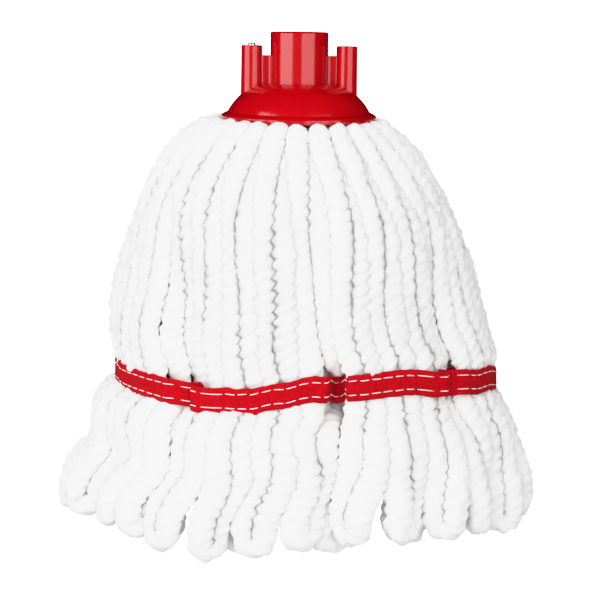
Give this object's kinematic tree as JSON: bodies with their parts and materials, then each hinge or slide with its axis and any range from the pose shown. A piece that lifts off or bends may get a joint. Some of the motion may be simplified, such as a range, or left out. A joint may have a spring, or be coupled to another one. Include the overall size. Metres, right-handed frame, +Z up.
{
  "type": "string mop head",
  "caption": "Round string mop head: moulded handle socket with two screw posts over a skirt of looped yarn held by a stitched belt tape.",
  "frame": {"origin": "on the surface the loops stand on, under the middle of the mop head, on the socket's axis", "axes": "+Z up the handle socket's axis, +X towards the right screw post as seen from the front, -Y towards the front"},
  "size_m": [0.2438, 0.1769, 0.2564],
  "materials": {
    "red_plastic": "glossy moulded plastic",
    "white_yarn": "fluffy twisted microfibre yarn",
    "red_tape": "woven herringbone tape",
    "white_thread": "sewing thread",
    "zinc_steel": "zinc plated"
  },
  "bodies": {
    "root": {"belt_tape_inner": "red_tape", "belt_tape_outer": "red_tape", "centre_stitching": "white_thread", "centre_tape": "red_tape", "clamp_plate": "red_plastic", "clamp_screw_left": "zinc_steel", "clamp_screw_right": "zinc_steel", "inner_loop_01": "white_yarn", "inner_loop_02": "white_yarn", "inner_loop_03": "white_yarn", "inner_loop_04": "white_yarn", "inner_loop_05": "white_yarn", "inner_loop_06": "white_yarn", "inner_loop_07": "white_yarn", "inner_loop_08": "white_yarn", "inner_loop_09": "white_yarn", "inner_loop_10": "white_yarn", "inner_loop_11": "white_yarn", "inner_loop_12": "white_yarn", "socket_housing": "red_plastic", "stitch_row_lower": "white_thread", "stitch_row_upper": "white_thread", "strand_loop_01": "white_yarn", "strand_loop_02": "white_yarn", "strand_loop_03": "white_yarn", "strand_loop_04": "white_yarn", "strand_loop_05": "white_yarn", "strand_loop_06": "white_yarn", "strand_loop_07": "white_yarn", "strand_loop_08": "white_yarn", "strand_loop_09": "white_yarn", "strand_loop_10": "white_yarn", "strand_loop_11": "white_yarn", "strand_loop_12": "white_yarn", "strand_loop_13": "white_yarn", "strand_loop_14": "white_yarn", "strand_loop_15": "white_yarn", "strand_loop_16": "white_yarn", "strand_loop_17": "white_yarn", "strand_loop_18": "white_yarn", "strand_loop_19": "white_yarn", "strand_loop_20": "white_yarn", "strand_loop_21": "white_yarn", "strand_loop_22": "white_yarn", "strand_loop_23": "white_yarn", "strand_loop_24": "white_yarn", "strand_loop_25": "white_yarn", "strand_loop_26": "white_yarn", "strand_loop_27": "white_yarn", "strand_loop_28": "white_yarn", "washer_left": "zinc_steel", "washer_right": "zinc_steel", "yarn_core": "white_yarn"}
  },
  "joints": []
}
